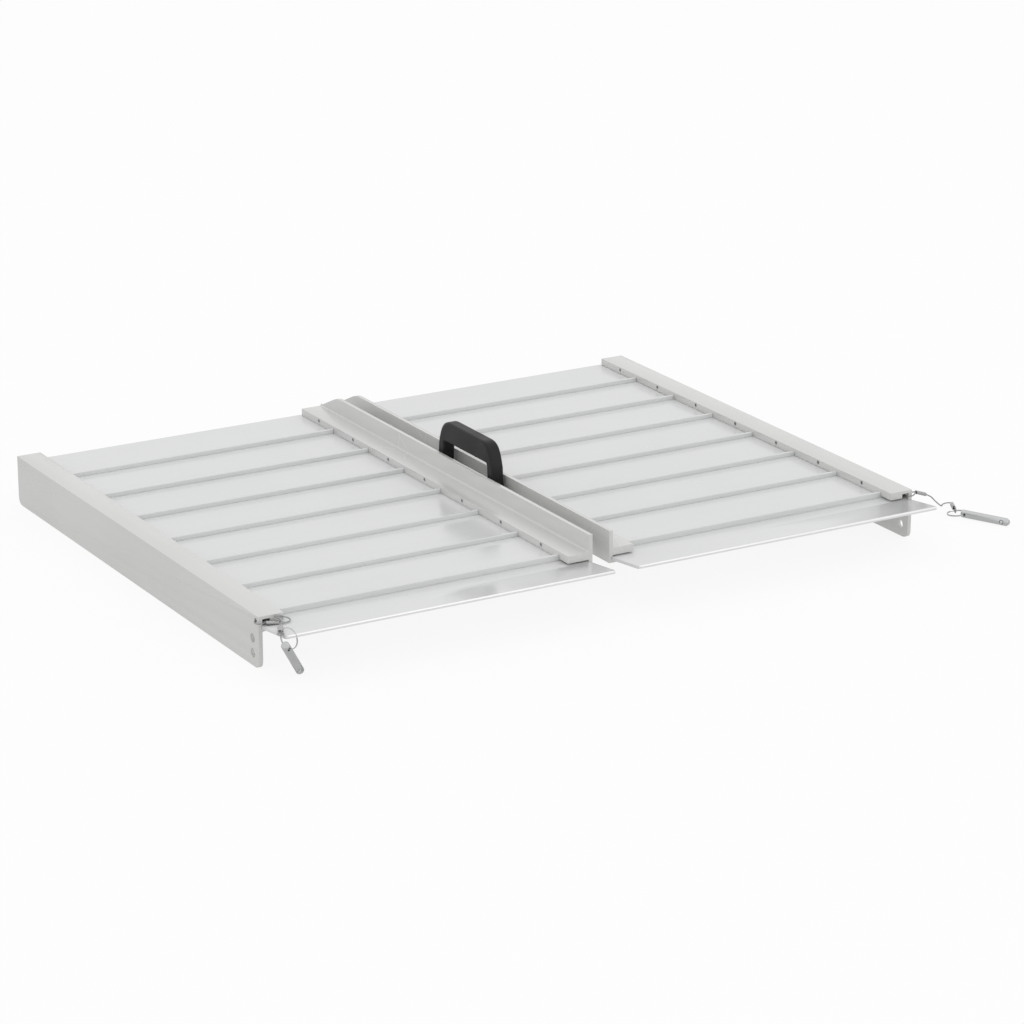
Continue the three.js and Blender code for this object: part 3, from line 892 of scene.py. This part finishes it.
def makeEasedPieces():
    for side in sides:
        for ending, (name, width, finish, slot) in easedPieces.items():
            node = f"{side}_{ending}"
            body = "spine" if ending == "hinge_pin" else f"{side}_panel"
            item = easedCopy(f"{side}_{name}", node, width)
            looks = [finishes[finish]]
            if ending == "lip":
                looks.append(finishes["paintedNoseHighlight"])
            finishPiece(item, body, looks, [node])
            if ending == "lip":
                paintNoseHighlight(item)
    bar = easedCopy("hinge_bar", "hinge_spine", spineEdge)
    finishPiece(bar, "spine", [finishes["hingeAluminium"]], ["hinge_spine"])
    for number in (1, 2):
        for name, node in fasteners.items():
            item = easedCopy(f"{name}_{number}", f"{node}_{number}", fastenerEdge)
            finishPiece(item, "spine", [finishes["platedSteel"]], [f"{node}_{number}"])


makeEasedPieces()
print("rails, lips, hinge and pins eased")


# detent balls and their springs
ballSettings = {"radius": 0.002, "around": 32, "rings": 20}


def makeDetents():
    setting = ballSettings
    for side in sides:
        name = f"{side}_detent_ball"
        mesh = bpy.data.meshes.new(name)
        work = bmesh.new()
        bmesh.ops.create_uvsphere(
            work, u_segments=setting["around"], v_segments=setting["rings"], radius=setting["radius"]
        )
        bmesh.ops.translate(work, verts=work.verts, vec=middle(f"{side}_pin_ball"))
        for face in work.faces:
            face.smooth = True
        work.to_mesh(mesh)
        work.free()
        ball = newObject(name, mesh)
        finishPiece(ball, f"{side}_ball", [finishes["brightPin"]], [f"{side}_pin_ball"])
        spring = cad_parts[f"{side}_pin_spring"]
        spring.data.materials.clear()
        spring.data.materials.append(finishes["wireSteel"])


makeDetents()
print("detent balls and springs finished")

# carrying handle
handleSettings = {
    "edge": 0.003,  # radius of the rounded rim
    "edgeSteps": 6,
    "curveSteps": 16,
    "legWidth": 0.012,
    "gripHeight": 0.022,
    "topReach": 0.018,  # from the crown's end to where the top goes flat
    "shoulder": 0.024,  # height of the straight part of a leg's outer side
    "shoulderLean": 0.002,
    "crownLean": 0.007,  # how far in from the feet the crown's ends are
    "crownRound": (0.005, 0.006),
    "windowLean": 0.002,
    "windowRound": 0.003,
    "windowSteps": 8,
}


def bezier(points, steps):
    a, b, c, d = (Vector(p) for p in points)
    made = []
    for i in range(steps):
        t = i / steps
        made.append(a * (1 - t) ** 3 + b * 3 * t * (1 - t) ** 2 + c * 3 * t * t * (1 - t) + d * t**3)
    return made


def quadratic(points, steps):
    a, b, c = (Vector(p) for p in points)
    return [a * (1 - t) ** 2 + b * 2 * t * (1 - t) + c * t * t for t in (i / steps for i in range(steps))]


def handleOutline():
    setting = handleSettings
    low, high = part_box("handle")
    centre = (low.y + high.y) / 2
    half = (high.y - low.y) / 2
    bottom, top = low.z, high.z
    crown = half - setting["crownLean"]
    roundIn, roundDown = setting["crownRound"]
    inner = half - setting["legWidth"]
    innerCrown, soft = inner - setting["windowLean"], setting["windowRound"]
    grip = top - setting["gripHeight"]
    flatFrom = crown - setting["topReach"]
    shoulder = (half - setting["shoulderLean"], bottom + setting["shoulder"])
    right = [Vector((inner, bottom)), Vector((half, bottom))]
    bend = [shoulder, (crown, top - roundDown), (crown - roundIn, top), (flatFrom, top)]
    right += bezier(bend, setting["curveSteps"])
    right.append(Vector((flatFrom, top)))
    left = [Vector((-p.x, p.y)) for p in reversed(right)]
    corner = [(-innerCrown, grip - soft), (-innerCrown, grip), (-innerCrown + soft, grip)]
    window = quadratic(corner, setting["windowSteps"])
    window.append(Vector((-innerCrown + soft, grip)))
    window += [Vector((-p.x, p.y)) for p in reversed(window)]
    return [Vector((centre + p.x, p.y)) for p in right + left + window], bottom


mitreLeast = 0.35  # keeps a sharp corner from running away


def insetLoop(loop, distance):
    # each corner moves in along the mitre of its two sides
    made = []
    for i, p in enumerate(loop):
        before = (p - loop[i - 1]).normalized()
        after = (loop[(i + 1) % len(loop)] - p).normalized()
        first = Vector((-before.y, before.x))
        second = Vector((-after.y, after.x))
        mitre = (first + second).normalized()
        made.append(p + mitre * distance / max(mitre.dot(first), mitreLeast))
    return made


def makeHandle():
    setting = handleSettings
    low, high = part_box("handle")
    half = (high.x - low.x) / 2
    outline, bottom = handleOutline()
    rim = []
    for step in range(setting["edgeSteps"] + 1):
        angle = math.pi / 2 * step / setting["edgeSteps"]
        inset = setting["edge"] * (1 - math.sin(angle))
        depth = half - setting["edge"] * (1 - math.cos(angle))
        rim.append((inset, depth))
    stations = [(inset, -depth) for inset, depth in rim]
    stations += [(inset, depth) for inset, depth in reversed(rim)]
    points = []
    for inset, x in stations:
        for p in insetLoop(outline, inset):
            points.append((x, p.x, max(p.y, bottom)))
    mesh = meshFrom("carry_handle", points, tubeFaces(len(stations), len(outline)))
    tidyNormals(mesh)
    item = newObject("carry_handle", mesh)
    weighted = item.modifiers.new("evenShading", "WEIGHTED_NORMAL")
    weighted.keep_sharp = True
    settle(item)
    return finishPiece(item, "spine", [finishes["mouldedPlastic"]], ["handle"])


makeHandle()
print("handle made")


# deck planks: one plank shape, repeated along the panel by a node tree
plankSettings = {
    "count": 7,
    "skin": 0.004,
    "ridgeWidth": 0.003,
    "ridgeRound": 0.0007,
    "ridgeFillet": 0.0009,
    "edgeRound": 0.0004,
    "grooves": 16,
    "grooveWidth": 0.0022,
    "grooveDepth": 0.0006,
    "plainEdge": 0.003,  # no grooves this close to either edge
    "normalWeight": 90,
    "endRound": 0.0004,
    "endLean": 0.3,
    "ridgeSpan": (0.0373, 0.3437),  # from the middle, between the flanges' edges
    "ridgeStep": 0.00002,
}


def cornerArc(centre, radius, start, end, steps=5):
    return [
        (centre[0] + radius * math.cos(a), centre[1] + radius * math.sin(a))
        for a in np.linspace(math.radians(start), math.radians(end), steps)
    ]


def plankSection(node):
    # (y, z) outline, anticlockwise when seen from +X
    setting = plankSettings
    low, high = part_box(node)
    start, end, bottom, top = low.y, high.y, low.z, high.z
    skinTop = bottom + setting["skin"]
    ridge, crest = setting["ridgeWidth"], setting["ridgeRound"]
    edge, fillet = setting["edgeRound"], setting["ridgeFillet"]
    points = cornerArc((start + edge, bottom + edge), edge, 180, 270)
    plain = setting["plainEdge"]
    pitch = (end - start - 2 * plain) / setting["grooves"]
    for i in range(setting["grooves"]):
        centre = start + plain + pitch * (i + 0.5)
        half, deep = setting["grooveWidth"] / 2, setting["grooveDepth"]
        points += [
            (centre - half, bottom),
            (centre - half * 0.5, bottom + deep),
            (centre + half * 0.5, bottom + deep),
            (centre + half, bottom),
        ]
    points += cornerArc((end - edge, bottom + edge), edge, 270, 360)
    points += cornerArc((end - edge, skinTop - edge), edge, 0, 90)
    points += cornerArc((start + ridge + fillet, skinTop + fillet), fillet, 270, 180)
    points += cornerArc((start + ridge - crest, top - crest), crest, 0, 90)
    points += cornerArc((start + crest, top - crest), crest, 90, 180)
    return points


def plankShape(side):
    # the ridge runs between the flanges' turned-down edges, and the skin on under them
    setting = plankSettings
    node = f"{side}_plank_1"
    low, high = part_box(node)
    skinTop = low.z + setting["skin"]
    section = plankSection(node)
    points = []
    inset, step = setting["endRound"], setting["ridgeStep"]
    ridgeFrom, ridgeTo = sorted(sides[side] * x for x in setting["ridgeSpan"])
    lean = inset * setting["endLean"]
    # (x, how far the outline shrinks, whether the ridge stands)
    stations = [(low.x, inset, 0), (low.x + lean, lean, 0), (low.x + inset, 0.0, 0)]
    stations += [(ridgeFrom - step, 0.0, 0), (ridgeFrom, 0.0, 1)]
    stations += [(ridgeTo, 0.0, 1), (ridgeTo + step, 0.0, 0)]
    stations += [(high.x - inset, 0.0, 0), (high.x - lean, lean, 0), (high.x, inset, 0)]
    for x, shrink, ridge in stations:
        loop = insetSection(section, shrink) if shrink else section
        top = math.inf if ridge else skinTop - shrink
        points += [(x, y, min(z, top)) for y, z in loop]
    return points, tubeFaces(len(stations), len(section))


def insetSection(section, distance):
    loop = [Vector(p) for p in section]
    return [tuple(p) for p in insetLoop(loop, distance)]


def plankTree():
    tree = bpy.data.node_groups.new("plankRow", "GeometryNodeTree")
    face = tree.interface
    face.new_socket("Geometry", in_out="INPUT", socket_type="NodeSocketGeometry")
    face.new_socket("Count", in_out="INPUT", socket_type="NodeSocketInt")
    face.new_socket("Pitch", in_out="INPUT", socket_type="NodeSocketFloat")
    face.new_socket("Material", in_out="INPUT", socket_type="NodeSocketMaterial")
    face.new_socket("Geometry", in_out="OUTPUT", socket_type="NodeSocketGeometry")
    nodes, links = tree.nodes, tree.links
    start, end = nodes.new("NodeGroupInput"), nodes.new("NodeGroupOutput")
    row = nodes.new("GeometryNodeMeshLine")
    links.new(start.outputs["Count"], row.inputs["Count"])
    step = nodes.new("ShaderNodeCombineXYZ")
    links.new(start.outputs["Pitch"], step.inputs["Y"])
    links.new(step.outputs[0], row.inputs["Offset"])
    copies = nodes.new("GeometryNodeInstanceOnPoints")
    links.new(row.outputs["Mesh"], copies.inputs["Points"])
    links.new(start.outputs["Geometry"], copies.inputs["Instance"])
    real = nodes.new("GeometryNodeRealizeInstances")
    links.new(copies.outputs["Instances"], real.inputs["Geometry"])
    paint = nodes.new("GeometryNodeSetMaterial")
    links.new(real.outputs["Geometry"], paint.inputs["Geometry"])
    links.new(start.outputs["Material"], paint.inputs["Material"])
    links.new(paint.outputs["Geometry"], end.inputs["Geometry"])
    return tree


def setInputs(modifier, values):
    for item in modifier.node_group.interface.items_tree:
        if item.item_type == "SOCKET" and item.in_out == "INPUT" and item.name in values:
            modifier[item.identifier] = values[item.name]


def plankNodes(side):
    return [f"{side}_plank_{i}" for i in range(1, plankSettings["count"] + 1)]


def makePlanks():
    tree = plankTree()
    for side in sides:
        nodes = plankNodes(side)
        first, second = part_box(nodes[0])[0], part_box(nodes[1])[0]
        points, faces = plankShape(side)
        name = f"{side}_deck_planks"
        mesh = meshFrom(name, points, faces)
        tidyNormals(mesh)
        item = newObject(name, mesh)
        shading = item.modifiers.new("evenShading", "WEIGHTED_NORMAL")
        shading.weight = plankSettings["normalWeight"]
        settle(item)
        row = item.modifiers.new("plankRow", "NODES")
        row.node_group = tree
        pitch = second.y - first.y
        setInputs(row, {"Count": len(nodes), "Pitch": pitch, "Material": finishes["deckAluminium"]})
        settle(item)
        finishPiece(item, f"{side}_panel", [finishes["deckAluminium"]], nodes)


makePlanks()
print("planks made")


# blind rivets in the flanges' turned-down edges, one to each plank, each with a near-black core that is
# painted shade of its hollow centre
rivetSettings = {
    "faces": (0.0370, 0.3440),  # distance of each edge's face from the middle
    "height": 0.0492,
    "along": 0.034,  # from a plank's front edge
    "rimRadius": 0.0024,
    "rimHeight": 0.0003,
    "coreRadius": 0.00175,
    "coreHeight": 0.0006,
    "segments": 24,
    "rings": 12,
}


def rivetTree():
    tree = bpy.data.node_groups.new("rivetRow", "GeometryNodeTree")
    face = tree.interface
    face.new_socket("Geometry", in_out="INPUT", socket_type="NodeSocketGeometry")
    for label in ("Rim Radius", "Rim Height", "Core Radius", "Core Height"):
        face.new_socket(label, in_out="INPUT", socket_type="NodeSocketFloat")
    for label in ("Rim Material", "Core Material"):
        face.new_socket(label, in_out="INPUT", socket_type="NodeSocketMaterial")
    face.new_socket("Geometry", in_out="OUTPUT", socket_type="NodeSocketGeometry")
    nodes, links = tree.nodes, tree.links
    start, end = nodes.new("NodeGroupInput"), nodes.new("NodeGroupOutput")
    ball = nodes.new("GeometryNodeMeshUVSphere")
    ball.inputs["Segments"].default_value = rivetSettings["segments"]
    ball.inputs["Rings"].default_value = rivetSettings["rings"]
    ball.inputs["Radius"].default_value = 1.0
    together = nodes.new("GeometryNodeJoinGeometry")
    for part in ("Rim", "Core"):
        scale = nodes.new("ShaderNodeCombineXYZ")
        links.new(start.outputs[f"{part} Radius"], scale.inputs["X"])
        links.new(start.outputs[f"{part} Radius"], scale.inputs["Y"])
        links.new(start.outputs[f"{part} Height"], scale.inputs["Z"])
        move = nodes.new("GeometryNodeTransform")
        links.new(ball.outputs["Mesh"], move.inputs["Geometry"])
        links.new(scale.outputs[0], move.inputs["Scale"])
        mark = nodes.new("GeometryNodeStoreNamedAttribute")
        mark.data_type = "BOOLEAN"
        mark.domain = "FACE"
        mark.inputs["Name"].default_value = "rivetCore"
        mark.inputs["Value"].default_value = part == "Core"
        links.new(move.outputs["Geometry"], mark.inputs["Geometry"])
        links.new(mark.outputs["Geometry"], together.inputs[0])
    smooth = nodes.new("GeometryNodeSetShadeSmooth")
    links.new(together.outputs[0], smooth.inputs["Geometry"])
    facing = nodes.new("GeometryNodeInputNamedAttribute")
    facing.data_type = "FLOAT_VECTOR"
    facing.inputs["Name"].default_value = "facing"
    turn = nodes.new("FunctionNodeAlignRotationToVector")
    turn.axis = "Z"
    links.new(facing.outputs["Attribute"], turn.inputs["Vector"])
    copies = nodes.new("GeometryNodeInstanceOnPoints")
    links.new(start.outputs["Geometry"], copies.inputs["Points"])
    links.new(smooth.outputs["Geometry"], copies.inputs["Instance"])
    links.new(turn.outputs["Rotation"], copies.inputs["Rotation"])
    real = nodes.new("GeometryNodeRealizeInstances")
    links.new(copies.outputs["Instances"], real.inputs["Geometry"])
    paintRim = nodes.new("GeometryNodeSetMaterial")
    links.new(real.outputs["Geometry"], paintRim.inputs["Geometry"])
    links.new(start.outputs["Rim Material"], paintRim.inputs["Material"])
    isCore = nodes.new("GeometryNodeInputNamedAttribute")
    isCore.data_type = "BOOLEAN"
    isCore.inputs["Name"].default_value = "rivetCore"
    paintCore = nodes.new("GeometryNodeSetMaterial")
    links.new(paintRim.outputs["Geometry"], paintCore.inputs["Geometry"])
    links.new(isCore.outputs["Attribute"], paintCore.inputs["Selection"])
    links.new(start.outputs["Core Material"], paintCore.inputs["Material"])
    links.new(paintCore.outputs["Geometry"], end.inputs["Geometry"])
    return tree


def makeRivets():
    setting = rivetSettings
    tree = rivetTree()
    for side, sign in sides.items():
        places, facings = [], []
        for node in plankNodes(side):
            low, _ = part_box(node)
            for x, outwards in zip(setting["faces"], (1, -1)):
                places.append((sign * x, low.y + setting["along"], setting["height"]))
                facings.append((sign * outwards, 0, 0))
        name = f"{side}_plank_rivets"
        mesh = bpy.data.meshes.new(name)
        mesh.from_pydata(places, [], [])
        facing = mesh.attributes.new("facing", "FLOAT_VECTOR", "POINT")
        for value, entry in zip(facings, facing.data):
            entry.vector = value
        item = newObject(name, mesh)
        row = item.modifiers.new("rivetRow", "NODES")
        row.node_group = tree
        values = {
            "Rim Radius": setting["rimRadius"],
            "Rim Height": setting["rimHeight"],
            "Core Radius": setting["coreRadius"],
            "Core Height": setting["coreHeight"],
            "Rim Material": finishes["platedSteel"],
            "Core Material": finishes["rivetCoreShade"],
        }
        setInputs(row, values)
        settle(item)
        finishPiece(item, f"{side}_panel", [])


makeRivets()
print("rivets made")
